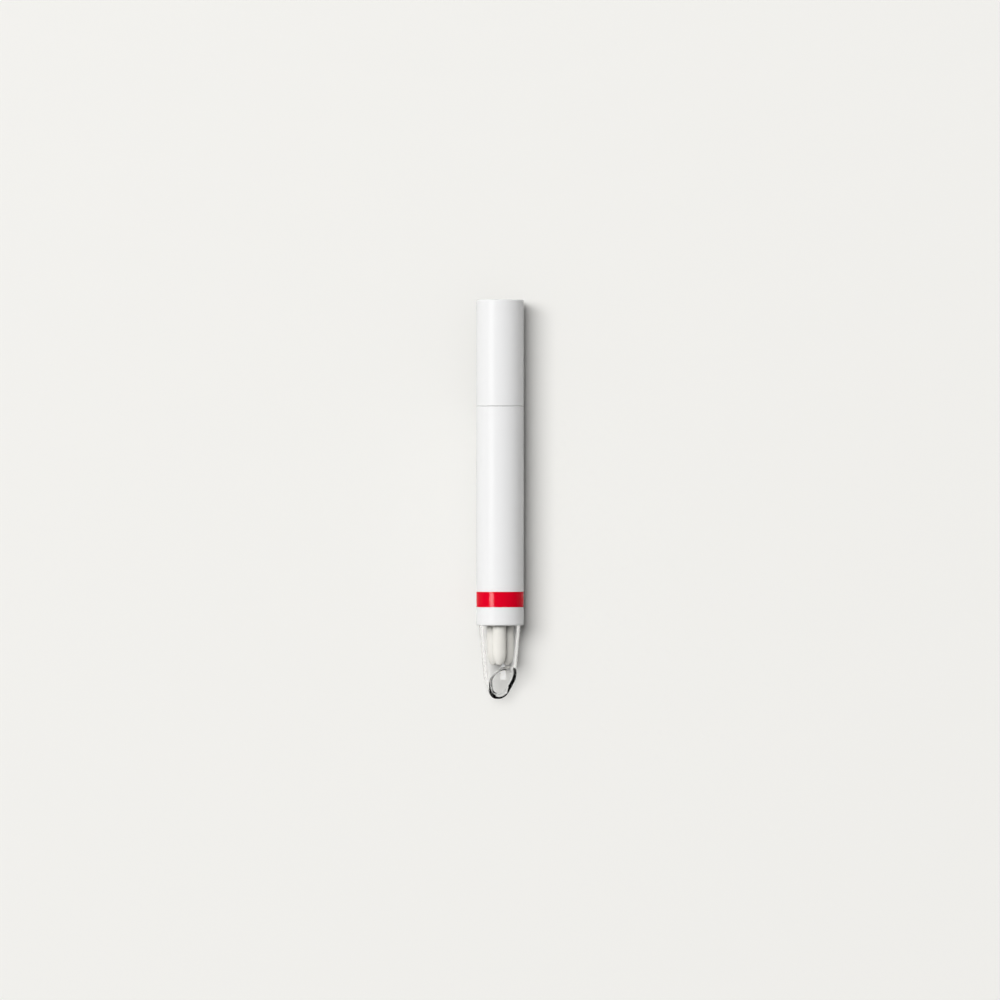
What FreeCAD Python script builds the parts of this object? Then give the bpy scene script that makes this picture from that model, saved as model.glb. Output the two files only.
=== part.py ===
import FreeCAD, Part
import math
import os
from FreeCAD import Vector

# A nail oil pen lying on its side, in millimetres. The pen's axis runs along Y, the cap is at +Y,
# the clear tail at -Y, and the floor is at Z = 0 under the middle of the pen's length.
# Sizes grow from the inside out: the felt tips set the store, the store sets the tail,
# the tail sets the barrel, and the barrel sets the cap.

# Felt tip, the same piece four times
TIP_DIAMETER = 3.3
TIP_LENGTH = 13.0
TIP_NOSE = 3.3
TIP_BALL = 1.0

# Fits, as clearance on the radius or between end faces
SLIDE_FIT = 0.06
PRESS_FIT = 0.03
TIP_FIT = 0.04
END_FIT = 0.05

# Spare tips and the rack that holds them
SPARE_COUNT = 3
SPARE_GAP = 0.34
SPARE_TURN = -4.0
SPARE_END_GAP = 0.32
SOCKET_DEPTH = 2.45
SOCKET_WALL = 0.65
RACK_FIT = 0.1
RACK_FLANGE = 1.0
RACK_PLUG = 3.0
RACK_SETBACK = 0.5

# Clear tail
TAIL_WALL = 0.8
TAIL_TAPER = 1.26
NOSE_LENGTH = 5.35
NOSE_BALL = 3.1
SPIGOT_LENGTH = 5.5
SPIGOT_LEAD = 0.3

# Slanted hollow-ground face that closes the tail
SCOOP_TURN = 31.0
SCOOP_LENGTH = 8.58
SCOOP_EXIT = 0.96
SCOOP_SAG = 0.76
SCOOP_SKIN = 0.5

# Barrel
BARREL_END_WALL = 0.6
BARREL_STEP = 0.25
BARREL_REAR_CHAMFER = 0.3
SEAM_CHAMFER = 0.1
BORE_LEAD = 0.15

# Red band
BAND_WIDTH = 3.85
BAND_FROM_END = 4.66
BAND_THICKNESS = 0.12

# Oil store
WAD_LENGTH = 40.8
WRAP_THICKNESS = 0.1
WICK_DIAMETER = 2.5
WICK_IN_WAD = 10.0

# Front section
PLUG_LENGTH = 5.0
NECK_LENGTH = 6.0
NECK_CHAMFER = 0.35
NECK_BEAD = 0.12
NECK_BEAD_WIDTH = 0.9
NECK_BEAD_FROM_END = 2.2
CONE_LENGTH = 5.0
CONE_STEP = 1.25
CONE_LIP = 0.75
TIP_EXPOSED = 3.6

# Cap
SEAM_GAP = 0.1
CAP_WALL = 0.7
CAP_END_WALL = 1.0
CAP_END_CHAMFER = 0.25
CAP_RIB_COUNT = 6
CAP_RIB_WIDTH = 0.7
LINER_WALL = 0.55
LINER_END_WALL = 0.8
LINER_SETBACK = 0.6
LINER_LEAD = 0.25
LINER_HEADROOM = 1.15
SEAL_GAP = 0.1
CUP_GAP = 0.4

# Radii, from the spare tips outward
TIP_R = TIP_DIAMETER / 2
SOCKET_R = TIP_R + TIP_FIT
SOCKET_LEAD = (SPARE_GAP - 2 * TIP_FIT) / 3
SPARE_CIRCLE = (TIP_DIAMETER + SPARE_GAP) / (2 * math.sin(math.pi / SPARE_COUNT))
BOSS_R = SPARE_CIRCLE + SOCKET_R + SOCKET_WALL
SPIGOT_BORE_R = BOSS_R + RACK_FIT
SPIGOT_R = SPIGOT_BORE_R + TAIL_WALL
END_BORE_R = SPIGOT_R + SLIDE_FIT
BARREL_R = END_BORE_R + BARREL_END_WALL
MAIN_BORE_R = END_BORE_R - BARREL_STEP
SHOULDER_R = SPIGOT_R - TAIL_TAPER

# Radii of the store and of the cap, from the barrel inward
WRAP_R = MAIN_BORE_R - PRESS_FIT
WAD_R = WRAP_R - WRAP_THICKNESS - PRESS_FIT
WICK_R = WICK_DIAMETER / 2
CAP_BORE_R = BARREL_R - CAP_WALL
LINER_R = CAP_BORE_R - PRESS_FIT
SKIRT_BORE_R = LINER_R - LINER_WALL
NECK_R = SKIRT_BORE_R - SLIDE_FIT - NECK_BEAD
CONE_BASE_R = NECK_R - CONE_STEP
CONE_MOUTH_R = SOCKET_R + CONE_LIP
CUP_BORE_R = CONE_BASE_R + CUP_GAP
CUP_R = CUP_BORE_R + LINER_WALL

# Lengths of the outside pieces
SPARE_REACH = TIP_LENGTH - SOCKET_DEPTH - RACK_SETBACK
TAIL_LENGTH = SPARE_REACH + SPARE_END_GAP + SCOOP_LENGTH
REAR_BORE = SPIGOT_LENGTH + END_FIT + RACK_FLANGE
BARREL_LENGTH = REAR_BORE + RACK_PLUG + END_FIT + WAD_LENGTH + END_FIT + PLUG_LENGTH
TIP_SEAT = TIP_LENGTH - TIP_EXPOSED
TIP_FRONT = NECK_LENGTH + CONE_LENGTH + TIP_EXPOSED
CEILING = TIP_FRONT + TIP_SEAT + LINER_HEADROOM
CAP_LENGTH = CEILING + LINER_END_WALL + END_FIT + CAP_END_WALL - SEAM_GAP
OVERALL = TAIL_LENGTH + BARREL_LENGTH + SEAM_GAP + CAP_LENGTH

# Stations along the pen
TAIL_END = -OVERALL / 2
BARREL_REAR = TAIL_END + TAIL_LENGTH
RACK_FACE = BARREL_REAR + RACK_SETBACK
RACK_SEAT = BARREL_REAR + REAR_BORE
WAD_REAR = RACK_SEAT + RACK_PLUG + END_FIT
WAD_FRONT = WAD_REAR + WAD_LENGTH
PLUG_REAR = WAD_FRONT + END_FIT
BARREL_FRONT = PLUG_REAR + PLUG_LENGTH
CAP_MOUTH = BARREL_FRONT + SEAM_GAP
CAP_TOP = CAP_MOUTH + CAP_LENGTH
NECK_FRONT = BARREL_FRONT + NECK_LENGTH
CONE_FRONT = NECK_FRONT + CONE_LENGTH
SEAT_FLOOR = CONE_FRONT - TIP_SEAT
LINER_CEILING = BARREL_FRONT + CEILING
SHOULDER = TAIL_END + NOSE_LENGTH

AXIS = Vector(0, 1, 0)
CENTRE = Vector(0, 0, BARREL_R)
CUT_REACH = 3 * BARREL_R


def at(radius, station):
    """A point of the pen's half plane: distance from the axis and station along it."""
    return Vector(radius, station, BARREL_R)


def line(start, end):
    return Part.LineSegment(start, end).toShape()


def outline(corners):
    """Closed outline through (radius, station) corners; a third value bevels that corner."""
    points = [at(corner[0], corner[1]) for corner in corners]
    path = []
    for index, corner in enumerate(corners):
        point = points[index]
        if len(corner) == 2:
            path.append(point)
            continue
        back = (points[index - 1] - point).normalize()
        ahead = (points[(index + 1) % len(points)] - point).normalize()
        path += [point + back * corner[2], point + ahead * corner[2]]
    return [line(path[index - 1], path[index]) for index in range(len(path))]


def ball_nose(start, tip, ball):
    """Straight taper from a point, then the arc of a ball that closes on the axis at the tip."""
    forward = AXIS if tip.y > start.y else AXIS * -1
    centre = tip - forward * ball
    spoke = start - centre
    turn = math.acos(ball / spoke.Length)
    spoke.normalize()
    side = (forward - spoke * forward.dot(spoke)).normalize()
    normal = spoke * math.cos(turn) + side * math.sin(turn)
    touch = centre + normal * ball
    middle = centre + (normal + forward).normalize() * ball
    return [line(start, touch), Part.Arc(touch, middle, tip).toShape()]


def turned(edges):
    """Solid of revolution about the pen's axis."""
    face = Part.Face(Part.Wire(Part.__sortEdges__(edges)))
    return face.revolve(CENTRE, AXIS, 360)


def rod(radius, start, end, offset=Vector(0, 0, 0)):
    """Round rod along the pen from one station to another."""
    return Part.makeCylinder(radius, end - start, at(0, start) + offset, AXIS)


def around(index, count, turn, radius):
    """Offset of one of count places on a circle; turn is in degrees from +Z towards +X."""
    angle = math.radians(turn) + 2 * math.pi * index / count
    return Vector(math.sin(angle), 0, math.cos(angle)) * radius


def felt_tip(rear, forward):
    """Felt rod with one rounded end, from its flat rear end; forward is +1 or -1 along Y."""
    shoulder = at(TIP_R, rear + forward * (TIP_LENGTH - TIP_NOSE))
    tip = at(0, rear + forward * TIP_LENGTH)
    side = [
        line(tip, at(0, rear)),
        line(at(0, rear), at(TIP_R, rear)),
        line(at(TIP_R, rear), shoulder),
    ]
    return turned(side + ball_nose(shoulder, tip, TIP_BALL))


def tail_bullet(wall):
    """Tapered solid with a ball nose: the tail's outside, or its inside drawn in by a wall."""
    top = at(SPIGOT_R - wall, BARREL_REAR)
    shoulder = at(SHOULDER_R - wall, SHOULDER)
    tip = at(0, TAIL_END + wall)
    crown = at(0, BARREL_REAR)
    side = [line(tip, crown), line(crown, top), line(top, shoulder)]
    return turned(side + ball_nose(shoulder, tip, NOSE_BALL - wall))


def scoop_arc(skin):
    """Start, middle and end of the face's arc, moved into the tail by a skin."""
    taper = TAIL_TAPER / (TAIL_LENGTH - NOSE_LENGTH)
    start = at(SPIGOT_R - taper * (TAIL_LENGTH - SCOOP_LENGTH), TAIL_END + SCOOP_LENGTH)
    leave = at(-SCOOP_EXIT, TAIL_END)
    chord = leave - start
    inward = Vector(chord.y, -chord.x, 0).normalize()
    middle = (start + leave) / 2 + inward * SCOOP_SAG
    circle = Part.Circle(start, middle, leave)
    grow = 1 + skin / circle.Radius
    return [circle.Center + (point - circle.Center) * grow for point in (start, middle, leave)]


def scoop_cutter(skin):
    """Body with one hollow-ground face that slants across the tail and faces SCOOP_TURN."""
    start, middle, leave = scoop_arc(skin)
    run_in = start + (start - middle).normalize() * BARREL_R
    run_out = leave + (leave - middle).normalize() * BARREL_R
    far_out = at(CUT_REACH, run_out.y)
    far_in = at(CUT_REACH, run_in.y)
    edges = [
        Part.Arc(start, middle, leave).toShape(),
        line(leave, run_out),
        line(run_out, far_out),
        line(far_out, far_in),
        line(far_in, run_in),
        line(run_in, start),
    ]
    face = Part.Face(Part.Wire(Part.__sortEdges__(edges)))
    face.translate(Vector(0, 0, -CUT_REACH))
    cutter = face.extrude(Vector(0, 0, 2 * CUT_REACH))
    cutter.rotate(CENTRE, AXIS, SCOOP_TURN - 90)
    return cutter


def clear_tail():
    spigot_end = BARREL_REAR + SPIGOT_LENGTH
    spigot = turned(outline([
        (0, BARREL_REAR),
        (SPIGOT_R, BARREL_REAR),
        (SPIGOT_R, spigot_end, SPIGOT_LEAD),
        (0, spigot_end),
    ]))
    bore = rod(SPIGOT_BORE_R, BARREL_REAR, spigot_end)
    store = tail_bullet(TAIL_WALL).cut(scoop_cutter(SCOOP_SKIN)).fuse(bore)
    tail = tail_bullet(0).fuse(spigot).cut(scoop_cutter(0))
    return tail.cut(store).removeSplitter()


def tip_rack():
    plug_r = MAIN_BORE_R - PRESS_FIT
    plug_front = RACK_SEAT + RACK_PLUG
    flange_r = END_BORE_R - PRESS_FIT
    flange_rear = RACK_SEAT - RACK_FLANGE
    rack = turned(outline([
        (0, RACK_FACE),
        (BOSS_R, RACK_FACE, SOCKET_WALL / 2),
        (BOSS_R, flange_rear),
        (flange_r, flange_rear),
        (flange_r, RACK_SEAT),
        (plug_r, RACK_SEAT),
        (plug_r, plug_front),
        (0, plug_front),
    ]))
    for index in range(SPARE_COUNT):
        place = around(index, SPARE_COUNT, SPARE_TURN, SPARE_CIRCLE)
        rack = rack.cut(rod(SOCKET_R, RACK_FACE, RACK_FACE + SOCKET_DEPTH + END_FIT, place))
        lead_r = SOCKET_R + SOCKET_LEAD
        lead = Part.makeCone(lead_r, SOCKET_R, SOCKET_LEAD, at(0, RACK_FACE) + place, AXIS)
        rack = rack.cut(lead)
    return rack


def spare_tip(index):
    tip = felt_tip(RACK_FACE + SOCKET_DEPTH, -1)
    tip.translate(around(index, SPARE_COUNT, SPARE_TURN, SPARE_CIRCLE))
    return tip


def barrel():
    band_rear = BARREL_REAR + BAND_FROM_END - END_FIT
    band_front = BARREL_REAR + BAND_FROM_END + BAND_WIDTH + END_FIT
    groove_r = BARREL_R - BAND_THICKNESS - PRESS_FIT
    return turned(outline([
        (END_BORE_R + BORE_LEAD, BARREL_REAR),
        (BARREL_R, BARREL_REAR, BARREL_REAR_CHAMFER),
        (BARREL_R, band_rear),
        (groove_r, band_rear),
        (groove_r, band_front),
        (BARREL_R, band_front),
        (BARREL_R, BARREL_FRONT, SEAM_CHAMFER),
        (END_BORE_R, BARREL_FRONT),
        (END_BORE_R, PLUG_REAR),
        (MAIN_BORE_R, PLUG_REAR),
        (MAIN_BORE_R, RACK_SEAT),
        (END_BORE_R, RACK_SEAT),
        (END_BORE_R, BARREL_REAR + BORE_LEAD),
    ]))


def red_band():
    rear = BARREL_REAR + BAND_FROM_END
    ring = rod(BARREL_R, rear, rear + BAND_WIDTH)
    return ring.cut(rod(BARREL_R - BAND_THICKNESS, rear, rear + BAND_WIDTH))


def wad_wrap():
    return rod(WRAP_R, WAD_REAR, WAD_FRONT).cut(rod(WRAP_R - WRAP_THICKNESS, WAD_REAR, WAD_FRONT))


def oil_wad():
    pocket = rod(WICK_R + PRESS_FIT, WAD_FRONT - WICK_IN_WAD - END_FIT, WAD_FRONT)
    return rod(WAD_R, WAD_REAR, WAD_FRONT).cut(pocket)


def feed_wick():
    return rod(WICK_R, WAD_FRONT - WICK_IN_WAD, SEAT_FLOOR - END_FIT)


def front_section():
    plug_r = END_BORE_R - PRESS_FIT
    wick_bore_r = WICK_R + PRESS_FIT
    bead_front = NECK_FRONT - NECK_BEAD_FROM_END
    bead_rear = bead_front - NECK_BEAD_WIDTH
    bead_r = NECK_R + NECK_BEAD
    return turned(outline([
        (wick_bore_r, PLUG_REAR),
        (plug_r, PLUG_REAR),
        (plug_r, BARREL_FRONT),
        (NECK_R, BARREL_FRONT),
        (NECK_R, bead_rear - NECK_BEAD),
        (bead_r, bead_rear),
        (bead_r, bead_front),
        (NECK_R, bead_front + NECK_BEAD),
        (NECK_R, NECK_FRONT, NECK_CHAMFER),
        (CONE_BASE_R, NECK_FRONT),
        (CONE_MOUTH_R, CONE_FRONT),
        (SOCKET_R, CONE_FRONT),
        (SOCKET_R, SEAT_FLOOR),
        (wick_bore_r, SEAT_FLOOR),
    ]))


def applicator_tip():
    return felt_tip(SEAT_FLOOR, 1)


def cap_shell():
    ceiling = LINER_CEILING + LINER_END_WALL + END_FIT
    shell = turned(outline([
        (CAP_BORE_R, CAP_MOUTH),
        (BARREL_R, CAP_MOUTH, SEAM_CHAMFER),
        (BARREL_R, CAP_TOP, CAP_END_CHAMFER),
        (0, CAP_TOP),
        (0, ceiling),
        (CAP_BORE_R, ceiling),
    ]))
    rib_rear = NECK_FRONT + SEAL_GAP + LINER_WALL + END_FIT
    rib_in = CUP_R + PRESS_FIT
    rib_out = CAP_BORE_R + CAP_WALL / 2
    rib = Part.makeBox(CAP_RIB_WIDTH, ceiling - rib_rear, rib_out - rib_in)
    rib.translate(Vector(-CAP_RIB_WIDTH / 2, rib_rear, BARREL_R + rib_in))
    for index in range(CAP_RIB_COUNT):
        placed = rib.copy()
        placed.rotate(CENTRE, AXIS, 360 * index / CAP_RIB_COUNT)
        shell = shell.fuse(placed)
    return shell.cut(rod(CUP_R + PRESS_FIT, rib_rear, ceiling)).removeSplitter()


def cap_liner():
    mouth = CAP_MOUTH + LINER_SETBACK
    seal = NECK_FRONT + SEAL_GAP
    top = LINER_CEILING + LINER_END_WALL
    return turned(outline([
        (SKIRT_BORE_R + LINER_LEAD, mouth),
        (LINER_R, mouth),
        (LINER_R, seal + LINER_WALL),
        (CUP_R, seal + LINER_WALL),
        (CUP_R, top),
        (0, top),
        (0, LINER_CEILING),
        (CUP_BORE_R, LINER_CEILING),
        (CUP_BORE_R, seal),
        (SKIRT_BORE_R, seal),
        (SKIRT_BORE_R, mouth + LINER_LEAD),
    ]))


NODES = {
    "cap_shell": cap_shell(),
    "cap_liner": cap_liner(),
    "barrel": barrel(),
    "red_band": red_band(),
    "front_section": front_section(),
    "applicator_tip": applicator_tip(),
    "feed_wick": feed_wick(),
    "oil_wad": oil_wad(),
    "wad_wrap": wad_wrap(),
    "tip_rack": tip_rack(),
    "clear_tail": clear_tail(),
}
for spare in range(SPARE_COUNT):
    NODES["spare_tip_%d" % (spare + 1)] = spare_tip(spare)

os.makedirs("parts", exist_ok=True)
for name, shape in NODES.items():
    solid = shape.Solids[0]
    solid.exportStep("parts/%s.step" % name)
    print(name, len(shape.Solids), "solid", solid.isValid(), round(solid.Volume, 2))
print("overall %.2f, barrel %.2f, cap %.2f, tail %.2f, diameter %.3f"
      % (OVERALL, BARREL_LENGTH, CAP_LENGTH, TAIL_LENGTH, 2 * BARREL_R))
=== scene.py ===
# %% [markdown]
# # A nail oil pen with spare tips in its clear tail
# The pen lies on a pale table and is seen from straight above. A white cap and a white barrel
# meet at a thin seam, a red band sits near the barrel's rear end, and a clear tail holds three
# spare felt tips. The tail ends in a slanted, hollow cut that pushes cuticles back.
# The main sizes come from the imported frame, so every surface made here lies where the solid
# lies. Sizes that the frame doesn't state, such as walls and rounds, are named in the cell that
# first needs them.

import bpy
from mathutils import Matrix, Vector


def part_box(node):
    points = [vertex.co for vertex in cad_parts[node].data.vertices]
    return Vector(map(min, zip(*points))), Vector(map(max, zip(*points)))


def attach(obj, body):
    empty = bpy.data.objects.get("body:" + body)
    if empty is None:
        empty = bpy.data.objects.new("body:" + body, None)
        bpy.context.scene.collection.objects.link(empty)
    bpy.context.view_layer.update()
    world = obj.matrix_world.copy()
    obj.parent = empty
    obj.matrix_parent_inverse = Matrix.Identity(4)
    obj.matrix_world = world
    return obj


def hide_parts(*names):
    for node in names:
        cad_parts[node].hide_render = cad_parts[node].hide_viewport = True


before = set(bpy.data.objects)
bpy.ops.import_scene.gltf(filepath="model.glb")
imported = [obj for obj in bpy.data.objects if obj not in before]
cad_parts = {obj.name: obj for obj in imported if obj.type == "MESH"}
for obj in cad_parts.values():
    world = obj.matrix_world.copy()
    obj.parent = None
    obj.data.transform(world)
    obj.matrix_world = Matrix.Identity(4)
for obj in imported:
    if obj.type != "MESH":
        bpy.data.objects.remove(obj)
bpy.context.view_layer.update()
print("nodes:", sorted(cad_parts))

# %% [markdown]
# ## Tools and render settings
# Blender measures in metres, but a pen is easier to think of in millimetres, so sizes are
# written as a number times MM. Three settings help the clear tail and the pale table: the
# Standard view shows colours as they are written, no glossy blur keeps what is seen through the
# plastic crisp, and one diffuse bounce keeps the white pen from lighting up the table beside it.
# A greyer pen could do the last of these, but it would look grey from every side.

import bpy
import numpy as np

MM = 0.001
scene = bpy.context.scene
scene.view_settings.view_transform = "Standard"
scene.cycles.blur_glossy = 0.0
scene.cycles.diffuse_bounces = 1
print("view transform:", scene.view_settings.view_transform)


# %% Main sizes
def span(node):
    """Radius and rear and front stations of a round node, read from its box in metres."""
    low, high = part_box(node)
    return (high.x - low.x) / 2, low.y, high.y


BARREL_R, BARREL_REAR, BARREL_FRONT = span("barrel")
AXIS_HEIGHT = BARREL_R
barrel_length = BARREL_FRONT - BARREL_REAR
print("barrel radius %.2f mm, length %.2f mm" % (BARREL_R / MM, barrel_length / MM))

# %% [markdown]
# ## Surfaces from a grid
# Almost every piece of a pen is turned: one profile of (radius, station) points carried round
# the axis. Blender's Spin or Screw could do that, but a grid of points worked out at once is
# shorter, and the same helper also takes a profile that changes with the angle, which the
# slanted tail needs. Rows run along the profile and columns run round the pen. A profile that
# starts and ends on the axis is closed by a fan at each pole, and one that goes round a wall
# is closed by joining its last row to its first.


# %% Faces of a grid
def quads_of(rows, columns, ring):
    """Corner indices of a grid's faces: each point joins its neighbours in row and column."""
    upper = np.arange(rows if ring else rows - 1)[:, None]
    lower = (upper + 1) % rows
    left = np.arange(columns)[None, :]
    right = (left + 1) % columns
    corners = [upper * columns + left, lower * columns + left,
               lower * columns + right, upper * columns + right]
    return np.stack(corners, axis=-1).reshape(-1, 4)


def fans_of(rows, columns):
    """Triangles from a grid's first and last rows to two poles, the points after the grid's."""
    turn = np.arange(columns)
    after = (turn + 1) % columns
    last = (rows - 1) * columns
    first_pole = np.full(columns, rows * columns)
    return [np.stack([turn, after, first_pole], axis=-1),
            np.stack([last + after, last + turn, first_pole + 1], axis=-1)]


print("a tube of 3 rows and 8 columns has %d faces" % len(quads_of(3, 8, False)))


# %% Grid to mesh
def inside_out(points, quads):
    """True where the signed volume, a sum of the corners' triple products, isn't positive."""
    a, b, c, d = (points[quads[:, k]] for k in range(4))
    return (np.cross(a, b) * c).sum() + (np.cross(a, c) * d).sum() <= 0


def piece_from_grid(name, grid, ring=False):
    """Closed mesh from a (rows, columns, 3) grid; without ring, its end rows are poles."""
    rows, columns = grid.shape[:2]
    if ring:
        points = grid.reshape(-1, 3)
        groups = [quads_of(rows, columns, True)]
    else:
        points = np.vstack([grid[1:-1].reshape(-1, 3), grid[0, 0], grid[-1, 0]])
        groups = [quads_of(rows - 2, columns, False)] + fans_of(rows - 2, columns)
    if inside_out(points, groups[0]):
        groups = [group[:, ::-1] for group in groups]
    faces = [face for group in groups for face in group.tolist()]
    mesh = bpy.data.meshes.new(name)
    mesh.from_pydata(points.tolist(), [], faces)
    mesh.polygons.foreach_set("use_smooth", np.ones(len(faces), bool))
    mesh.update()
    piece = bpy.data.objects.new(name, mesh)
    scene.collection.objects.link(piece)
    return piece


# %% [markdown]
# ### Profiles with rounded corners
# No moulded edge is sharp: a hair of a round catches the light and shows where two pieces meet.
# A Bevel modifier could round every edge alike, but here each corner names its own round, from
# the fine one at the seam to the soft one at the lip. A point held close to each end of a round
# keeps smooth shading from bending the flat sides.

# %% Profiles
ROUND_STEPS = 6
EDGE_HOLD = 0.02 * MM


def lean(t, first, corner, last):
    """Curve from a first to a last point that leans on a corner: at share t the three weigh
    (1 - t) squared, 2 t (1 - t) and t squared."""
    return (1 - t) ** 2 * first + 2 * t * (1 - t) * corner + t ** 2 * last


def profile(corners, ring=False):
    """Points through (radius, station, round) corners: each round is a curve that leaves one
    side and meets the next, and a point just beyond each end keeps the flat sides flat."""
    corner = np.array(corners, float)
    before, after = np.roll(corner, 1, axis=0), np.roll(corner, -1, axis=0)
    back = before[:, :2] - corner[:, :2]
    ahead = after[:, :2] - corner[:, :2]
    back /= np.linalg.norm(back, axis=1, keepdims=True)
    ahead /= np.linalg.norm(ahead, axis=1, keepdims=True)
    middle, size = corner[:, None, :2], corner[:, None, 2:]
    start, end = middle + back[:, None] * size, middle + ahead[:, None] * size
    rounds = lean(np.linspace(0, 1, ROUND_STEPS)[None, :, None], start, middle, end)
    hold_in, hold_out = start + back[:, None] * EDGE_HOLD, end + ahead[:, None] * EDGE_HOLD
    full = np.concatenate([hold_in, rounds, hold_out], axis=1)
    if ring:
        return full.reshape(-1, 2)
    return np.vstack([corner[:1, :2], full[1:-1].reshape(-1, 2), corner[-1:, :2]])


print("each corner of a profile becomes %d points" % (ROUND_STEPS + 2))

# %% Turning
TURNS = 192


def full_turn(count=TURNS):
    """Evenly spaced angles of a full turn, as a row whose end meets its start."""
    return np.linspace(0, 2 * np.pi, count, endpoint=False)[None, :]


def carried_round(radius, station, angle, centre=(0.0, AXIS_HEIGHT)):
    """Points round a line along the pen: at angle a a point lies at (centre x plus radius times
    sin a, station, centre height plus radius times cos a)."""
    return np.stack([centre[0] + radius * np.sin(angle), station + 0 * angle,
                     centre[1] + radius * np.cos(angle)], axis=-1)


def turned(points):
    """Carries (radius, station) points round the pen's axis."""
    return carried_round(points[:, :1], points[:, 1:], full_turn())


print("a turned piece has a point every %.2f degrees" % (360 / TURNS))

# %% [markdown]
# ### From surface to piece
# Most surfaces stand in for one solid of the frame: such a piece rides on the same body, takes
# the solid's place and carries its finish. Parenting and hiding by hand could do that,
# but one helper does it alike for every piece and says what it did.


# %% Settling a piece
def settle(piece, body, node, material):
    """Puts a finished piece on its body in place of its solid, and reports it."""
    piece.data.materials.append(material)
    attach(piece, body)
    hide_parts(node)
    print("%s: %d points, stands for %s" % (piece.name, len(piece.data.vertices), node))


print("solids in the frame: %d" % len(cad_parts))

# %% [markdown]
# ## Finishes
# A finish is a Principled shader with a little procedural variation: a noise pattern in Object
# coordinates moves the colour by a few percent, the roughness a little more, and a fine bump
# breaks up reflections the way a moulded or fibrous surface does. Image textures could do the
# same, but they need files and UV maps, and a noise needs neither. Numbers that are the same all
# over a piece are set on the shader itself.


# %% Shader nodes
def new_finish(name):
    """Material with a Principled shader; returns it, its node tree and that shader."""
    material = bpy.data.materials.new(name)
    material.use_nodes = True
    tree = material.node_tree
    return material, tree, tree.nodes["Principled BSDF"]


def add(tree, kind, **inputs):
    """New node of a kind with its inputs set by name; underscores stand for spaces."""
    node = tree.nodes.new("ShaderNode" + kind)
    for key, value in inputs.items():
        node.inputs[key.replace("_", " ")].default_value = value
    return node


def pattern(tree, scale, stretch=(1, 1, 1), detail=3.0):
    """Noise of a given scale in Object coordinates, stretched along the axes."""
    where = add(tree, "TexCoord")
    mapping = add(tree, "Mapping", Scale=stretch)
    noise = add(tree, "TexNoise", Scale=scale, Detail=detail)
    tree.links.new(where.outputs["Object"], mapping.inputs["Vector"])
    tree.links.new(mapping.outputs["Vector"], noise.inputs["Vector"])
    return noise.outputs["Fac"]


print("materials before the first finish: %d" % len(bpy.data.materials))


# %% What a pattern drives
def between(tree, factor, low, high, socket):
    """Feeds a shader input with values from low to high, chosen by the factor."""
    ramp = add(tree, "MapRange", To_Min=low, To_Max=high)
    tree.links.new(factor, ramp.inputs["Value"])
    tree.links.new(ramp.outputs["Result"], socket)


def tint(tree, factor, first, second, socket):
    """Feeds a colour input with a mix of two colours, chosen by the factor."""
    ramp = add(tree, "ValToRGB")
    ramp.color_ramp.elements[0].color = (*first, 1)
    ramp.color_ramp.elements[1].color = (*second, 1)
    tree.links.new(factor, ramp.inputs["Fac"])
    tree.links.new(ramp.outputs["Color"], socket)


def relief(tree, factor, strength, depth, shader):
    """Bump of a given depth on the shader's normal."""
    bump = add(tree, "Bump", Strength=strength, Distance=depth)
    tree.links.new(factor, bump.inputs["Height"])
    tree.links.new(bump.outputs["Normal"], shader.inputs["Normal"])


print("a pattern can drive a value, a colour or a relief")

# %% [markdown]
# ### Moulded plastics
# The cap and the barrel are satin white polypropylene, the liner and the rack are the same
# plastic without pigment, and the band is a glossier red ring. A plain colour would come near,
# but a moulded wall is never quite even, so one function clouds the colour, varies the
# roughness and adds a fine grain. Each plastic then only names its two colours, its roughness
# and its gloss. The one without pigment also lets a little light in, as milky plastic does.

# %% Opaque plastics
CLOUD_SCALE = 160
SHEEN_SCALE = 900
SHEEN_SPREAD = 0.1
GRAIN_SCALE = 9000
GRAIN_DETAIL = 2.0
GRAIN_DEPTH = 0.004 * MM


def plastic(name, first, second, roughness, gloss):
    """Moulded plastic: soft cloudy colour, an even gloss, and a fine grain that grows with the
    square of the roughness, so a glossy piece keeps straight highlights."""
    material, tree, shader = new_finish(name)
    shader.inputs["Specular IOR Level"].default_value = gloss
    tint(tree, pattern(tree, CLOUD_SCALE), first, second, shader.inputs["Base Color"])
    between(tree, pattern(tree, SHEEN_SCALE), roughness * (1 - SHEEN_SPREAD),
            roughness * (1 + SHEEN_SPREAD), shader.inputs["Roughness"])
    grain = pattern(tree, GRAIN_SCALE, detail=GRAIN_DETAIL)
    relief(tree, grain, roughness ** 2 / 2, GRAIN_DEPTH, shader)
    return material


white_plastic = plastic("white_plastic", (0.852, 0.852, 0.852), (0.868, 0.868, 0.868),
                        roughness=0.2, gloss=0.012)
red_plastic = plastic("red_plastic", (0.735, 0.0010, 0.017), (0.765, 0.0014, 0.021),
                      roughness=0.07, gloss=0.03)
natural_plastic = plastic("natural_plastic", (0.78, 0.77, 0.74), (0.82, 0.81, 0.78),
                          roughness=0.40, gloss=0.4)
print("plastics:", white_plastic.name, red_plastic.name, natural_plastic.name)

# %% Milky plastic
MILK_WEIGHT = 0.2
MILK_REACH = 0.5 * MM

milk = natural_plastic.node_tree.nodes["Principled BSDF"].inputs
milk["Subsurface Weight"].default_value = MILK_WEIGHT
milk["Subsurface Scale"].default_value = MILK_REACH
print("%s lets light in by %.1f mm" % (natural_plastic.name, MILK_REACH / MM))

# %% [markdown]
# ### Felt, fibre and film
# Felt tips are bonded fibres that run along the tip. Hair strands could show each fibre, but
# from here they melt into streaks, so one noise stretched along the pen gives the streaks, in
# colour and in bump, and a coarser one the uneven dullness. The wad in the barrel is the same
# idea, larger and stained by the oil that it holds, and a thin crinkled film wraps it.

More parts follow.
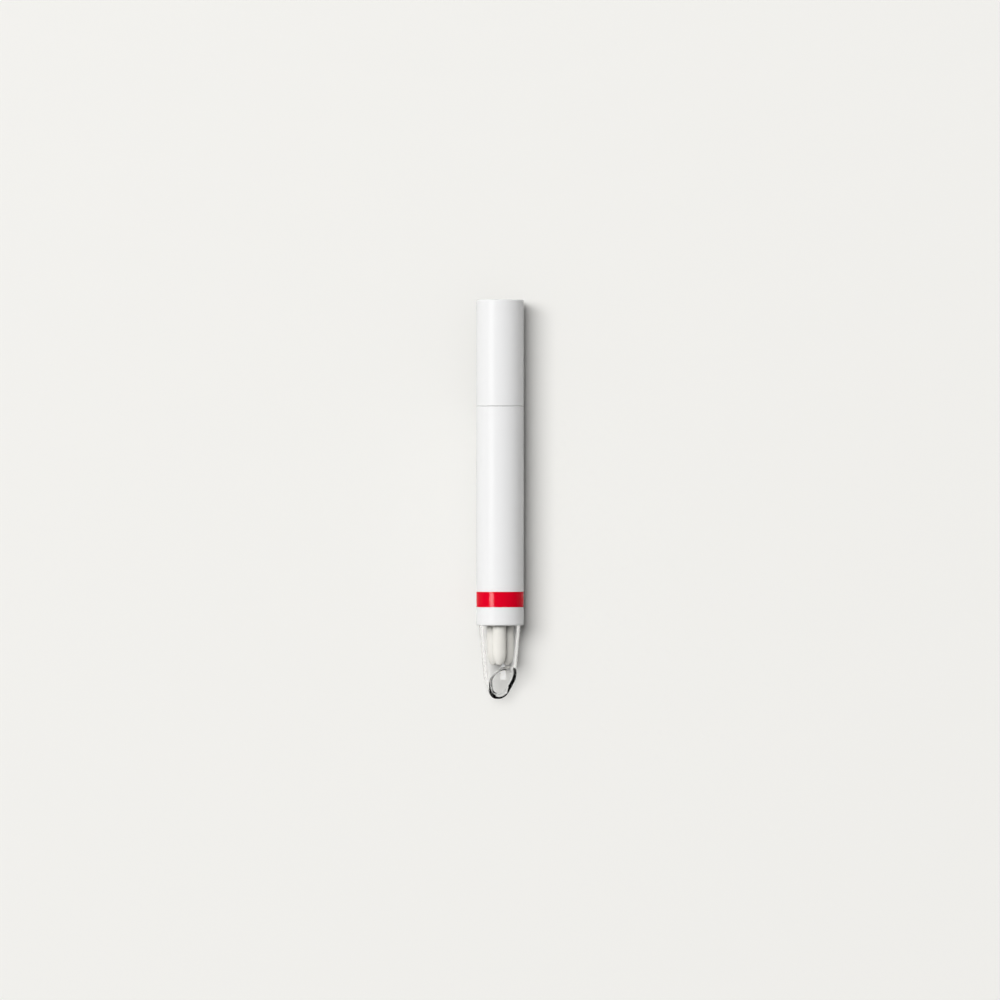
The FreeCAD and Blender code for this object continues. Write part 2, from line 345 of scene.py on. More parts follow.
# %% Fibres
FIBRE_STRETCH = (1, 0.12, 1)
FIBRE_DETAIL = 5.0
FIBRE_RELIEF = 0.5
FIBRE_ROUGHNESS = (0.82, 0.95)
FIBRE_GLOSS = 0.05
FIBRE_SHEEN = 0.15


def fibres(name, first, second, scale, depth):
    """Bonded fibres along the pen: stretched noise in the colour and in the bump, and noise of
    a third of its scale in the roughness."""
    material, tree, shader = new_finish(name)
    strands = pattern(tree, scale, FIBRE_STRETCH, FIBRE_DETAIL)
    tint(tree, strands, first, second, shader.inputs["Base Color"])
    between(tree, pattern(tree, scale / 3), *FIBRE_ROUGHNESS, shader.inputs["Roughness"])
    relief(tree, strands, FIBRE_RELIEF, depth, shader)
    shader.inputs["Specular IOR Level"].default_value = FIBRE_GLOSS
    shader.inputs["Sheen Weight"].default_value = FIBRE_SHEEN
    return material


felt = fibres("felt", (0.92, 0.90, 0.84), (0.97, 0.95, 0.89), 7000, 0.03 * MM)
wick_fibre = fibres("wick_fibre", (0.78, 0.74, 0.62), (0.86, 0.82, 0.72), 6000, 0.03 * MM)
wad_fibre = fibres("wad_fibre", (0.74, 0.66, 0.42), (0.84, 0.77, 0.55), 3000, 0.08 * MM)
print("fibres:", felt.name, wick_fibre.name, wad_fibre.name)

# %% Film
CRINKLE_SCALE = 700
CRINKLE_STRETCH = (1, 0.25, 1)
CRINKLE_DETAIL = 4.0
CRINKLE_RELIEF = 0.4
CRINKLE_DEPTH = 0.02 * MM
FILM_ROUGHNESS = (0.15, 0.35)


def film_finish():
    """Thin cloudy film: one noise stretched along the pen drives colour, roughness and bump."""
    material, tree, shader = new_finish("film")
    crinkle = pattern(tree, CRINKLE_SCALE, CRINKLE_STRETCH, CRINKLE_DETAIL)
    tint(tree, crinkle, (0.80, 0.82, 0.82), (0.88, 0.89, 0.89), shader.inputs["Base Color"])
    between(tree, crinkle, *FILM_ROUGHNESS, shader.inputs["Roughness"])
    relief(tree, crinkle, CRINKLE_RELIEF, CRINKLE_DEPTH, shader)
    return material


film = film_finish()
print("wrap finish:", film.name)

# %% [markdown]
# ### Clear plastic
# The tail is a thick clear moulding. A thin see-through shell would be quicker, but it bends
# nothing, and the bent view is what tells a thick wall from a thin one. So the light is bent by
# the tail's real walls, and the shader only needs the right index of refraction and a nearly
# smooth surface, with a faint flow pattern that keeps it from looking perfect. A path tracer
# seldom finds a lamp through bent glass, so the tips inside would come out noisy. Shadow rays
# therefore pass straight through: a Light Path mix gives them a plain veil, dimmer where they
# graze the wall, as real plastic turns more light away there. To keep that light from being
# counted twice, diffuse rays ignore the tail.

# %% Clear plastic
CLEAR_TINT = (0.985, 0.985, 0.985, 1)
CLEAR_IOR = 1.49
MIRROR_TINT = (0.45, 0.45, 0.45, 1)
FLOW_SCALE = 260
FLOW_STRETCH = (1, 0.3, 1)
FLOW_DETAIL = 2.0
FLOW_RELIEF = 0.004
FLOW_DEPTH = 0.01 * MM
CLEAR_ROUGHNESS = (0.0, 0.03)
VEIL_FACING = (0.97, 0.97, 0.97)
VEIL_GRAZING = (0.72, 0.72, 0.72)


def clear_moulding():
    """Refracting plastic with faint flow lines in its roughness and bump."""
    material, tree, shader = new_finish("clear_plastic")
    shader.inputs["Base Color"].default_value = CLEAR_TINT
    shader.inputs["Transmission Weight"].default_value = 1.0
    shader.inputs["IOR"].default_value = CLEAR_IOR
    shader.inputs["Specular Tint"].default_value = MIRROR_TINT
    flow = pattern(tree, FLOW_SCALE, FLOW_STRETCH, FLOW_DETAIL)
    between(tree, flow, *CLEAR_ROUGHNESS, shader.inputs["Roughness"])
    relief(tree, flow, FLOW_RELIEF, FLOW_DEPTH, shader)
    return material, tree, shader


def veil_for_shadow_rays(tree, shader):
    """Mixes in a plain veil for shadow rays alone; it dims as the ray turns to grazing."""
    rays = add(tree, "LightPath")
    slant = add(tree, "LayerWeight", Blend=0.5)
    veil = add(tree, "BsdfTransparent")
    tint(tree, slant.outputs["Facing"], VEIL_FACING, VEIL_GRAZING, veil.inputs["Color"])
    mix = add(tree, "MixShader")
    tree.links.new(rays.outputs["Is Shadow Ray"], mix.inputs[0])
    tree.links.new(shader.outputs["BSDF"], mix.inputs[1])
    tree.links.new(veil.outputs["BSDF"], mix.inputs[2])
    tree.links.new(mix.outputs["Shader"], tree.nodes["Material Output"].inputs["Surface"])


clear_plastic, clear_tree, clear_shader = clear_moulding()
veil_for_shadow_rays(clear_tree, clear_shader)
print("%s bends light by %.2f" % (clear_plastic.name, CLEAR_IOR))

# %% [markdown]
# ## The cap
# A plain white tube, closed at the top with a small round edge. A cylinder with a Boolean hole
# and a Bevel could make it, but one turned profile gives the outside, the mouth and the inside
# as one closed wall, and every corner has a round of its own. The flat white end faces the lamp
# and would throw a bright patch on the table, so the table's diffuse rays don't see the cap.

# %% Cap shell
_, CAP_MOUTH, CAP_TOP = span("cap_shell")
LINER_R, LINER_MOUTH, LINER_TOP = span("cap_liner")
PRESS_FIT = 0.03 * MM
END_GAP = 0.05 * MM
CAP_BORE_R = LINER_R + PRESS_FIT
CAP_CEILING = LINER_TOP + END_GAP
CAP_END_ROUND = 0.38 * MM
SEAM_ROUND = 0.12 * MM
INNER_ROUND = 0.1 * MM

cap = piece_from_grid("cap", turned(profile([
    (0, CAP_CEILING, 0),
    (CAP_BORE_R, CAP_CEILING, INNER_ROUND),
    (CAP_BORE_R, CAP_MOUTH, INNER_ROUND),
    (BARREL_R, CAP_MOUTH, SEAM_ROUND),
    (BARREL_R, CAP_TOP, CAP_END_ROUND),
    (0, CAP_TOP, 0),
])))
settle(cap, "cap", "cap_shell", white_plastic)
cap.visible_diffuse = False

# %% [markdown]
# ### The liner and its ribs
# Inside the cap a thin cup keeps the felt tip from drying out. Its skirt snaps over the neck of
# the pen, so the neck's sizes are worked out first and the liner follows from them. Six ribs
# hold it in the middle of the cap. Bevelled cubes could make the ribs, but a rounded rectangle
# by a power rule has soft corners without a modifier, and a loop turns it round the axis.

# %% Neck that the liner fits
FRONT_R, PLUG_REAR, CONE_FRONT = span("front_section")
SLIDE_FIT = 0.06 * MM
SKIRT_WALL = 0.55 * MM
SKIRT_BORE_R = LINER_R - SKIRT_WALL
NECK_BEAD = 0.12 * MM
NECK_R = SKIRT_BORE_R - SLIDE_FIT - NECK_BEAD
CONE_LENGTH = 5.0 * MM
NECK_FRONT = CONE_FRONT - CONE_LENGTH
CONE_STEP = 1.25 * MM
CONE_BASE_R = NECK_R - CONE_STEP
print("neck radius %.2f mm, cone radius %.2f mm" % (NECK_R / MM, CONE_BASE_R / MM))

# %% Cap liner
SEAL_GAP = 0.1 * MM
SEAL = NECK_FRONT + SEAL_GAP
CUP_GAP = 0.4 * MM
CUP_BORE_R = CONE_BASE_R + CUP_GAP
CUP_R = CUP_BORE_R + SKIRT_WALL
CUP_END_WALL = 0.8 * MM
CUP_ROUND = 0.4 * MM
LINER_LEAD = 0.25 * MM
BLUNT_ROUND = 0.05 * MM

liner = piece_from_grid("liner", turned(profile([
    (0, LINER_TOP - CUP_END_WALL, 0),
    (CUP_BORE_R, LINER_TOP - CUP_END_WALL, CUP_ROUND),
    (CUP_BORE_R, SEAL, INNER_ROUND),
    (SKIRT_BORE_R, SEAL, INNER_ROUND),
    (SKIRT_BORE_R, LINER_MOUTH + LINER_LEAD, INNER_ROUND),
    (SKIRT_BORE_R + LINER_LEAD, LINER_MOUTH, BLUNT_ROUND),
    (LINER_R, LINER_MOUTH, INNER_ROUND),
    (LINER_R, SEAL + SKIRT_WALL, INNER_ROUND),
    (CUP_R, SEAL + SKIRT_WALL, INNER_ROUND),
    (CUP_R, LINER_TOP, CUP_ROUND),
    (0, LINER_TOP, 0),
])))
settle(liner, "cap", "cap_liner", natural_plastic)

# %% Cap ribs
RIB_COUNT = 6
RIB_WIDTH = 0.7 * MM
RIB_TURNS = 24


def rib_grid(angle):
    """One rib: a rounded rectangle by the rule x^4 + z^4 = 1, carried along the pen, closed by
    a pole at each end and turned round the axis by an angle."""
    around = full_turn(RIB_TURNS)
    swell = (np.abs(np.cos(around)) ** 4 + np.abs(np.sin(around)) ** 4) ** -0.25
    inner, outer = CUP_R + PRESS_FIT, CAP_BORE_R + PRESS_FIT
    rear, front = SEAL + SKIRT_WALL + END_GAP, CAP_CEILING
    station = np.array([rear, rear, front, front])[:, None]
    size = np.array([0.0, 1.0, 1.0, 0.0])[:, None]
    across = np.cos(around) * swell * RIB_WIDTH / 2 * size
    height = (inner + outer) / 2 + np.sin(around) * swell * (outer - inner) / 2 * size
    x = across * np.cos(angle) + height * np.sin(angle)
    z = AXIS_HEIGHT + height * np.cos(angle) - across * np.sin(angle)
    return np.stack([x, station + 0 * x, z], axis=-1)


for index in range(RIB_COUNT):
    rib = piece_from_grid("cap_rib_%d" % (index + 1), rib_grid(2 * np.pi * index / RIB_COUNT))
    rib.data.materials.append(white_plastic)
    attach(rib, "cap")
print("cap with liner and %d ribs" % RIB_COUNT)

# %% [markdown]
# ## The barrel and its band
# The barrel is a tube with a bore at each end for what plugs into it, a shallow groove for the
# red band, and a soft round lip where the clear tail comes out. The band could be a stripe of
# colour on the tube, but it is a ring of its own, and the two fine seams beside it show that, so
# both are turned. Their profiles go once round the wall, which keeps them hollow.

# %% Barrel
SPIGOT_R, _, SPIGOT_END = span("clear_tail")
_, _, RACK_FRONT = span("tip_rack")
BAND_R, BAND_REAR, BAND_FRONT = span("red_band")
END_BORE_R = SPIGOT_R + SLIDE_FIT
BORE_STEP = 0.25 * MM
MAIN_BORE_R = END_BORE_R - BORE_STEP
RACK_PLUG = 3.0 * MM
RACK_SEAT = RACK_FRONT - RACK_PLUG
GROOVE_DEPTH = 0.15 * MM
GROOVE_R = BARREL_R - GROOVE_DEPTH
GROOVE_REAR, GROOVE_FRONT = BAND_REAR - END_GAP, BAND_FRONT + END_GAP
LIP_ROUND = 0.42 * MM
FINE_ROUND = 0.03 * MM

barrel = piece_from_grid("barrel_tube", turned(profile([
    (END_BORE_R, BARREL_REAR, INNER_ROUND),
    (BARREL_R, BARREL_REAR, LIP_ROUND),
    (BARREL_R, GROOVE_REAR, FINE_ROUND),
    (GROOVE_R, GROOVE_REAR, FINE_ROUND),
    (GROOVE_R, GROOVE_FRONT, FINE_ROUND),
    (BARREL_R, GROOVE_FRONT, FINE_ROUND),
    (BARREL_R, BARREL_FRONT, SEAM_ROUND),
    (END_BORE_R, BARREL_FRONT, INNER_ROUND),
    (END_BORE_R, PLUG_REAR, FINE_ROUND),
    (MAIN_BORE_R, PLUG_REAR, FINE_ROUND),
    (MAIN_BORE_R, RACK_SEAT, FINE_ROUND),
    (END_BORE_R, RACK_SEAT, FINE_ROUND),
], ring=True)), ring=True)
settle(barrel, "barrel", "barrel", white_plastic)

# %% Red band
band = piece_from_grid("band", turned(profile([
    (GROOVE_R + PRESS_FIT, BAND_REAR, FINE_ROUND),
    (BAND_R, BAND_REAR, FINE_ROUND),
    (BAND_R, BAND_FRONT, FINE_ROUND),
    (GROOVE_R + PRESS_FIT, BAND_FRONT, FINE_ROUND),
], ring=True)), ring=True)
settle(band, "barrel", "red_band", red_plastic)

# %% [markdown]
# ## The front section
# Under the cap a stepped plug closes the barrel, a bead on its neck holds the cap, and a cone
# holds the felt tip. Stacked cylinders could make it, but their touching ends would leave faces
# inside, so it is one turned wall too. Its bore is as wide as the tip in front and as the wick
# behind.

# %% Front section
WICK_R, WICK_REAR, WICK_FRONT = span("feed_wick")
TIP_R, TIP_REAR, TIP_FRONT = span("applicator_tip")
WICK_BORE_R = WICK_R + PRESS_FIT
FELT_FIT = 0.04 * MM
SOCKET_R = TIP_R + FELT_FIT
MOUTH_WALL = 0.75 * MM
BEAD_BACK = 2.2 * MM
BEAD_LENGTH = 0.9 * MM
BEAD_FRONT = NECK_FRONT - BEAD_BACK
BEAD_REAR = BEAD_FRONT - BEAD_LENGTH
NECK_ROUND = 0.4 * MM
CONE_FOOT_ROUND = 0.2 * MM
MOUTH_ROUND = 0.3 * MM

front = piece_from_grid("front_plug", turned(profile([
    (WICK_BORE_R, PLUG_REAR, FINE_ROUND),
    (FRONT_R, PLUG_REAR, INNER_ROUND),
    (FRONT_R, BARREL_FRONT, FINE_ROUND),
    (NECK_R, BARREL_FRONT, FINE_ROUND),
    (NECK_R, BEAD_REAR - NECK_BEAD, BLUNT_ROUND),
    (NECK_R + NECK_BEAD, BEAD_REAR, BLUNT_ROUND),
    (NECK_R + NECK_BEAD, BEAD_FRONT, BLUNT_ROUND),
    (NECK_R, BEAD_FRONT + NECK_BEAD, BLUNT_ROUND),
    (NECK_R, NECK_FRONT, NECK_ROUND),
    (CONE_BASE_R, NECK_FRONT, CONE_FOOT_ROUND),
    (SOCKET_R + MOUTH_WALL, CONE_FRONT, MOUTH_ROUND),
    (SOCKET_R, CONE_FRONT, INNER_ROUND),
    (SOCKET_R, TIP_REAR, FINE_ROUND),
    (WICK_BORE_R, TIP_REAR, FINE_ROUND),
], ring=True)), ring=True)
settle(front, "barrel", "front_section", white_plastic)

# %% [markdown]
# ## What is inside the barrel
# A wick runs from the felt tip into a wad of fibre that holds the oil, and a film wraps the wad.
# Wad and wick are bundles of strands. A Displace modifier could press grooves into them, but the
# radius is already an array, so a cosine of the angle makes fine flutes in one line.

# %% Wad
WAD_R, WAD_REAR, WAD_FRONT = span("oil_wad")
WAD_BORE_R = WICK_R + 2 * PRESS_FIT
WAD_BORE_END = WICK_REAR - END_GAP
WAD_FLUTES = 40
FLUTE_DEPTH = 0.02 * MM


def fluted(points, flutes):
    """Turned surface whose radius dips by a cosine of the angle, so it shows bundled strands;
    points on the axis stay there."""
    angle = full_turn()
    dip = FLUTE_DEPTH * (1 - np.cos(flutes * angle)) / 2
    radius = np.maximum(points[:, :1] - dip, 0) * (points[:, :1] > 0)
    return carried_round(radius, points[:, 1:], angle)


wad = piece_from_grid("wad", fluted(profile([
    (0, WAD_REAR, 0),
    (WAD_R, WAD_REAR, INNER_ROUND),
    (WAD_R, WAD_FRONT, INNER_ROUND),
    (WAD_BORE_R, WAD_FRONT, FINE_ROUND),
    (WAD_BORE_R, WAD_BORE_END, FINE_ROUND),
    (0, WAD_BORE_END, 0),
]), WAD_FLUTES))
settle(wad, "barrel", "oil_wad", wad_fibre)

# %% Wrap and wick
WRAP_R, _, _ = span("wad_wrap")
WRAP_THICKNESS = 0.1 * MM
WRAP_BORE_R = WRAP_R - WRAP_THICKNESS
WRAP_ROUND = 0.02 * MM
WICK_FLUTES = 20

wrap = piece_from_grid("wrap", turned(profile([
    (WRAP_BORE_R, WAD_REAR, WRAP_ROUND),
    (WRAP_R, WAD_REAR, WRAP_ROUND),
    (WRAP_R, WAD_FRONT, WRAP_ROUND),
    (WRAP_BORE_R, WAD_FRONT, WRAP_ROUND),
], ring=True)), ring=True)
settle(wrap, "barrel", "wad_wrap", film)

wick = piece_from_grid("wick", fluted(profile([
    (0, WICK_REAR, 0),
    (WICK_R, WICK_REAR, INNER_ROUND),
    (WICK_R, WICK_FRONT, INNER_ROUND),
    (0, WICK_FRONT, 0),
]), WICK_FLUTES))
settle(wick, "barrel", "feed_wick", wick_fibre)

# %% [markdown]
# ## Felt tips
# One working tip and three spares share a shape: a rod with a bullet nose. A cylinder with a
# sculpted end could do, but an ellipse comes close to a ground nose and takes one line of
# arithmetic. A small ripple in the radius, made of two sine waves in angle and station, gives
# the slightly uneven skin of cut felt. The spares point the other way, each round its own line.

# %% Felt tips
TIP_NOSE = 3.3 * MM
TIP_EDGE = 0.12 * MM
SHANK_ROWS = 60
NOSE_ROWS = 40
FUZZ = 0.012 * MM
# Each ripple has a number of waves round the tip and an advance in radians per metre.
RIPPLES = ((7, 900), (13, -2300))


def felt_tip_grid(rear, forward, centre):
    """Rod with an elliptic nose: radius is TIP_R times the square root of 1 minus s squared,
    where s runs from 0 at the shoulder to 1 at the point, less a small ripple."""
    angle = full_turn()
    shoulder = TIP_FRONT - TIP_REAR - TIP_NOSE
    shank = np.linspace(TIP_EDGE, shoulder, SHANK_ROWS)[:-1]
    bow = np.linspace(0, np.pi / 2, NOSE_ROWS)
    travel = np.concatenate([[0, 0], shank, shoulder + TIP_NOSE * np.sin(bow)])[:, None]
    side = np.full(len(shank), TIP_R)
    radius = np.concatenate([[0, TIP_R - TIP_EDGE], side, TIP_R * np.cos(bow)])[:, None]
    radius[-1] = 0
    first, second = (np.sin(waves * angle + advance * travel) for waves, advance in RIPPLES)
    ripple = FUZZ * (1 + first * second) / 2
    skin = np.maximum(radius - ripple, 0) * (radius > 0)
    return carried_round(skin, rear + forward * travel, angle, centre)


tip = piece_from_grid("tip", felt_tip_grid(TIP_REAR, 1, (0, AXIS_HEIGHT)))
settle(tip, "tip", "applicator_tip", felt)

for index in (1, 2, 3):
    node = "spare_tip_%d" % index
    low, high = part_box(node)
    middle = (low + high) / 2
    spare = piece_from_grid("spare_%d" % index, felt_tip_grid(high.y, -1, (middle.x, middle.z)))
    settle(spare, "barrel", node, felt)

# %% [markdown]
# ## The tip rack
# The rack closes the oil store at the rear, and the three spare tips plug into its sockets. It
# could be made again as a grid, but sockets beside the axis don't suit a turned profile, and the
# piece is simple and right as a solid. So the solid stays and only takes a finish.

# %% Tip rack
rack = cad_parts["tip_rack"]
rack.data.materials.clear()
rack.data.materials.append(natural_plastic)
print("tip rack keeps its solid, %d faces" % len(rack.data.polygons))

# %% [markdown]
# ## The clear tail
# The tail is the piece that takes the most care. Seen from the end it is round, but a slanted,
# hollow-ground face closes its end, so the profile is different at every angle. A Boolean cut
# would leave a ragged rim that can't be rounded, so the surface is still one grid: at each
# angle the profile runs from the middle of the cut out to its rim, over the rounded rim, up the
# outside, round the spigot that plugs into the barrel, down the store that holds the tips, and
# along the back of the cut to its middle. The cut is dished once more near its rim. The side of
# that dish bends the view and draws the dark ring. It is steeper towards the barrel, where the
# light comes from, and gentler at the other side, where a steep one would catch a glint.

# %% [markdown]
# ### Outline of the tail
# Without its cut the tail would be a bullet: a slight taper, a short cone and a ball. A drawn
# curve could follow it, but the outside and the store are the same form with a wall between
# them. So one function gives the radius at a station for any wall, and a soft minimum rounds
# the shoulder where taper and cone meet.

# %% Tail outline
TAIL_LENGTH = 18.95 * MM
TAIL_END = BARREL_REAR - TAIL_LENGTH
TAIL_TAPER = 1.26 * MM
NOSE_LENGTH = 5.35 * MM
NOSE_BALL = 3.1 * MM
SHOULDER_SOFT = 0.05 * MM


def taper_radius(station):
    """Radius of the straight taper, which narrows by TAIL_TAPER from the barrel to the nose."""
    return SPIGOT_R - TAIL_TAPER * (BARREL_REAR - station) / (TAIL_LENGTH - NOSE_LENGTH)


def tail_radius(station, wall):
    """Radius of the tail's skin, drawn in by a wall: the softer minimum of a straight taper and
    of a nose, which is a line that touches a ball and then the ball."""
    d = station - TAIL_END - wall
    ball = NOSE_BALL - wall
    shoulder = np.array([SPIGOT_R - TAIL_TAPER - wall, NOSE_LENGTH - wall - ball])
    reach = np.hypot(*shoulder)
    turn = np.arctan2(shoulder[1], shoulder[0]) - np.arccos(ball / reach)
    touch = np.array([ball * np.cos(turn), ball * np.sin(turn)])
    slope = (shoulder[0] - touch[0]) / (shoulder[1] - touch[1])
    line = touch[0] + slope * (d - ball - touch[1])
    dome = np.sqrt(np.maximum(d * (2 * ball - d), 0))
    nose = np.where(d - ball < touch[1], dome, line)
    side = taper_radius(station) - wall
    gap = (side - nose) / SHOULDER_SOFT
    return np.minimum(side, nose) - SHOULDER_SOFT * np.log1p(np.exp(-np.abs(gap)))


print("tail radius %.2f mm at the nose" % (tail_radius(TAIL_END + NOSE_LENGTH, 0) / MM))

# %% [markdown]
# ### The slanted cut
# The end is ground hollow, as if by the rim of a wheel, and the cut faces up and to the side.
# Where the wall meets the cut has no short formula, because one is a cone or a ball and the
# other is a cylinder that lies across. Halving a range again and again finds it for all angles
# at once.

# %% Slanted cut
CUT_TURN = np.radians(31.0)
CUT_START = 8.58 * MM
CUT_EXIT = 0.96 * MM
CUT_SAG = 0.76 * MM
HALVINGS = 50
TAIL_TURNS = 256


def cut_depth(station, skin):
    """How far from the axis, towards the cut's side, the hollow-ground face lies: a circle
    through the place where the cut starts, the place where it leaves, and a sag between. The
    back of the face is the circle that is larger by the face's skin."""
    start = np.array([taper_radius(TAIL_END + CUT_START), TAIL_END + CUT_START])
    leave = np.array([-CUT_EXIT, TAIL_END])
    chord = start - leave
    half = np.hypot(*chord) / 2
    across = np.array([-chord[1], chord[0]]) / (2 * half)
    radius = (half ** 2 + CUT_SAG ** 2) / (2 * CUT_SAG)
    centre = (start + leave) / 2 - across * (radius - CUT_SAG)
    return centre[0] - np.sqrt((radius + skin) ** 2 - (station - centre[1]) ** 2)


def cut_station(angle, wall, skin):
    """Station where a wall meets the cut at each angle, found by halving the range."""
    high = np.full(len(angle), TAIL_END + CUT_START + 2 * skin)
    low = np.full(len(angle), TAIL_END + wall)
    for _ in range(HALVINGS):
        middle = (low + high) / 2
        inside = tail_radius(middle, wall) * np.cos(angle) < cut_depth(middle, skin)
        high, low = np.where(inside, middle, high), np.where(inside, low, middle)
    return (low + high) / 2


tail_angles = full_turn(TAIL_TURNS)[0]
rim_height = (cut_station(tail_angles, 0, 0) - TAIL_END) / MM
print("cut from %.2f to %.2f mm above the end" % (rim_height.max(), rim_height.min()))

# %% [markdown]
# ### Walls, face and rim
# Apart from the spigot, three kinds of strips make up the surface: walls that run along the pen,
# the face of the cut with its dish, and the round between them. Each could be a mesh of its own,
# but seams show in clear plastic. So all of them use the same angles, and each strip starts
# where the last one ended.

# %% Walls of the tail
WALL_ROWS = 70


def shares(count):
    """Evenly spaced shares from 0 to 1, as a column that spreads over angles."""
    return np.linspace(0, 1, count)[:, None]


def rings(radius, station, angle):
    """Points as (towards the cut, sideways, along the pen): radius times the angle's cosine,
    radius times its sine, and the station."""
    return np.stack([radius * np.cos(angle), radius * np.sin(angle), station + 0 * angle], axis=-1)


def on_wall(station, angle, wall):
    """Rings on the tail's skin, drawn in by a wall."""
    return rings(tail_radius(station, wall), station, angle)


def wall_run(start, end, angle, wall):
    """A wall between two rings of stations; a cosine brings its rows closer at both ends."""
    share = (1 - np.cos(np.pi * shares(WALL_ROWS))) / 2
    return on_wall(start + (end - start) * share, angle, wall)


print("tail radius %.2f mm at the barrel" % (tail_radius(BARREL_REAR, 0) / MM))

# %% Face of the cut
FACE_ROWS = 40
BOWL_DEPTH = 0.75 * MM
STEEP_SIDE = 0.75 * MM
GENTLE_SIDE = 1.35 * MM
GENTLE_TURN = np.radians(140.0)


def on_face(rim, share, skin):
    """Points of the cut: shares of the way from its middle to its rim, sunk to its depth, and
    sunk further by a bowl whose side falls as a smooth step within a short way of the rim. That
    way changes with a cosine of the angle, from gentle at one side to steep at the other."""
    middle = (rim[:, 2].max() + rim[:, 2].min()) / 2
    sideways = rim[:, 1] * share
    station = middle + (rim[:, 2] - middle) * share
    steep = (1 - np.cos(np.arctan2(rim[:, 1], rim[:, 0]) - GENTLE_TURN)) / 2
    side = GENTLE_SIDE + (STEEP_SIDE - GENTLE_SIDE) * steep
    from_rim = (1 - share) * np.hypot(rim[:, 1], rim[:, 2] - middle)
    fall = np.clip(from_rim / side, 0, 1)
    bowl = BOWL_DEPTH * fall ** 2 * (3 - 2 * fall)
    return np.stack([cut_depth(station, skin) - bowl, sideways, station], axis=-1)


print("bowl %.2f mm deep in the cut" % (BOWL_DEPTH / MM))

# %% Rim of the cut
RIM_STEPS = 7


def cut_corner(angle, wall, skin, size):
    """The cut from its middle to near its rim, the round of a size that takes it up into the
    wall, and the stations where that round ends."""
    rim_station = cut_station(angle, wall, skin)
    rim = on_wall(rim_station, angle, wall)
    middle = on_face(rim, np.zeros(len(angle)), skin)
    near = 1 - size / np.linalg.norm(rim - middle, axis=1)
    face = on_face(rim, np.sin(shares(FACE_ROWS) * np.pi / 2) * near, skin)
    up = rim_station + size
    return face, lean(shares(RIM_STEPS)[..., None], face[-1], rim, on_wall(up, angle, wall)), up


print("rim rounded in %d steps" % RIM_STEPS)

# %% [markdown]
# ### The closed tail
# The strips are joined to one grid from the middle of the cut to the middle of its back. A thin
# skin parts the cut from the store behind it, and the spigot has a short lead that helps it into
# the barrel. Turning the object could bring the cut round to its side, but an object
# stays unturned here, so the points are turned.

# %% Tail
TAIL_WALL = 0.8 * MM
FACE_SKIN = 0.5 * MM
RIM_ROUND = 0.32 * MM
FOOT_ROUND = 0.5 * MM
SPIGOT_LEAD = 0.3 * MM


def tail_grid(angle):
    """Surface of the tail: out from the middle of the cut, up the outside, round the spigot,
    down the store and back along the inner side of the cut to its middle, then turned about
    the axis so that the cut faces its way."""
    face, rim, rim_top = cut_corner(angle, 0, 0, RIM_ROUND)
    floor, foot, foot_top = cut_corner(angle, TAIL_WALL, FACE_SKIN, FOOT_ROUND)
    spigot = profile([
        (SPIGOT_R, BARREL_REAR, 0),
        (SPIGOT_R, SPIGOT_END - SPIGOT_LEAD, FINE_ROUND),
        (SPIGOT_R - SPIGOT_LEAD, SPIGOT_END, FINE_ROUND),
        (SPIGOT_R - TAIL_WALL, SPIGOT_END, INNER_ROUND),
        (SPIGOT_R - TAIL_WALL, BARREL_REAR, 0),
    ])[1:-1]
    rows = np.concatenate([
        face, rim[1:], wall_run(rim_top, BARREL_REAR, angle, 0)[1:],
        rings(spigot[:, :1], spigot[:, 1:], angle),
        wall_run(BARREL_REAR, foot_top, angle, TAIL_WALL)[:-1], foot[:0:-1], floor[::-1],
    ])
    towards, sideways, along = np.moveaxis(rows, -1, 0)
    sine, cosine = np.sin(CUT_TURN), np.cos(CUT_TURN)
    return np.stack([towards * sine + sideways * cosine, along,
                     AXIS_HEIGHT + towards * cosine - sideways * sine], axis=-1)


tail = piece_from_grid("tail", tail_grid(tail_angles))
settle(tail, "tail", "clear_tail", clear_plastic)
tail.visible_diffuse = False

# %% [markdown]
# ## The table
# The pen lies on a plain pale sheet. A pale world behind the pen could stand for it, but no
# shadow falls on a world. So it is one large face with a matt finish, wide enough to fill the
# view from every side.

# %% Table
TABLE_HALF = 4.0
PAPER_SCALE = 40
PAPER_ROUGHNESS = 0.9


def table_finish():
    """Pale matt paper: almost one colour, with a trace of cloud."""
    material, tree, shader = new_finish("table_paper")
    tint(tree, pattern(tree, PAPER_SCALE), (0.905, 0.897, 0.867), (0.911, 0.903, 0.873),
         shader.inputs["Base Color"])
    shader.inputs["Roughness"].default_value = PAPER_ROUGHNESS
    shader.inputs["Specular IOR Level"].default_value = 0.0
    return material


table_mesh = bpy.data.meshes.new("table")
corner_signs = ((-1, -1), (1, -1), (1, 1), (-1, 1))
table_mesh.from_pydata([(x * TABLE_HALF, y * TABLE_HALF, 0) for x, y in corner_signs],
                       [], [(0, 1, 2, 3)])
table = bpy.data.objects.new("table", table_mesh)
scene.collection.objects.link(table)
table.data.materials.append(table_finish())
print("table %.0f m wide" % (2 * TABLE_HALF))

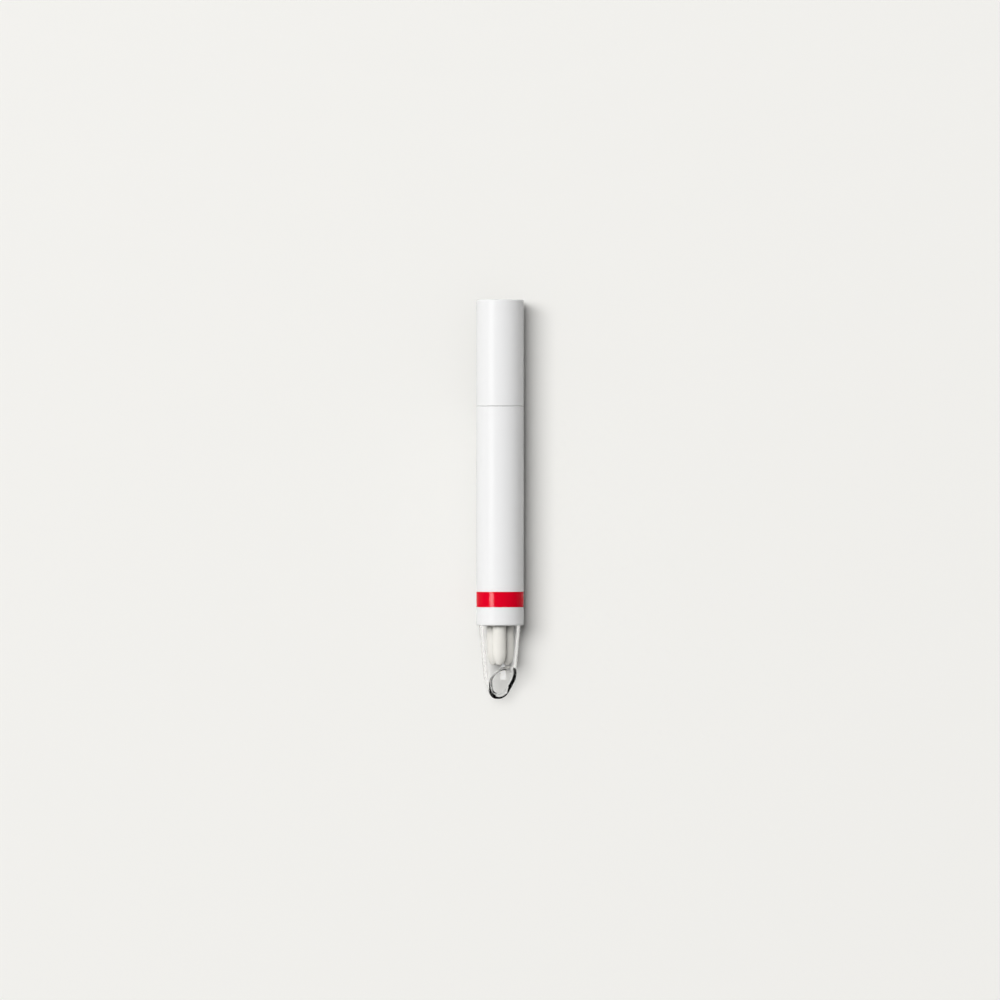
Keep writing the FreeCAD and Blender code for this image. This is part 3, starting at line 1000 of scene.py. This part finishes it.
# %% [markdown]
# ## Lamps
# A large soft lamp at the upper left makes the soft shadow on the right: the wider the lamp, the
# wider the soft edge. A sun or a small lamp could light the pen as well, but with a hard shadow.
# A long strip on the left is there for its reflection alone, the narrow highlight along the
# plastics, so diffuse rays don't see it. Its reflection ends with the barrel, and so it draws no
# line on the clear tail. A dim even world fills the shadow.

# %% Lamps
from mathutils import Vector

KEY_X, KEY_Y, KEY_HEIGHT = -4.85, 3.25, 10.0
STRIP_X, STRIP_Y, STRIP_HEIGHT = -0.54, 0.518, 0.60


def soft_lamp(name, place, aim, sides, radiance):
    """Rectangular lamp at a place, facing a point; its power is radiance times area times pi."""
    light = bpy.data.lights.new(name, "AREA")
    light.shape = "RECTANGLE"
    light.size, light.size_y = sides
    light.energy = radiance * np.prod(sides) * np.pi
    lamp = bpy.data.objects.new(name, light)
    lamp.location = place
    lamp.rotation_euler = (Vector(aim) - Vector(place)).to_track_quat("-Z", "Y").to_euler()
    scene.collection.objects.link(lamp)
    return lamp


key = soft_lamp("key", (KEY_X, KEY_Y, KEY_HEIGHT), (KEY_X, KEY_Y, 0),
                sides=(9.9, 5.5), radiance=8.72)
strip = soft_lamp("strip", (STRIP_X, STRIP_Y, STRIP_HEIGHT), (0, STRIP_Y, AXIS_HEIGHT),
                  sides=(1.12, 0.35), radiance=70.0)
strip.visible_diffuse = strip.visible_transmission = False
print("lamps: %.0f and %.0f watts" % (key.data.energy, strip.data.energy))

# %% World
FILL = 0.15

world = bpy.data.worlds.new("studio")
scene.world = world
world.use_nodes = True
world.node_tree.nodes["Background"].inputs["Color"].default_value = (FILL, FILL, FILL, 1)
print("even fill light of %.2f from all sides" % FILL)

# %% [markdown]
# ## The camera
# The camera looks straight down. An orthographic camera would keep the pen's sides parallel, but
# a real lens far away does nearly the same and still shows a trace of depth. Its height follows
# from the width that it should see at the pen's axis.

# %% Camera
FRAME_WIDTH = 253.2 * MM
LENS = 400.0
SENSOR = 36.0

camera = bpy.data.objects.new("camera", bpy.data.cameras.new("camera"))
camera.data.lens = LENS
camera.data.sensor_width = SENSOR
camera.location = (0, 0, AXIS_HEIGHT + FRAME_WIDTH * LENS / SENSOR)
scene.collection.objects.link(camera)
scene.camera = camera
print("camera %.0f mm above the pen" % ((camera.location.z - AXIS_HEIGHT) / MM))
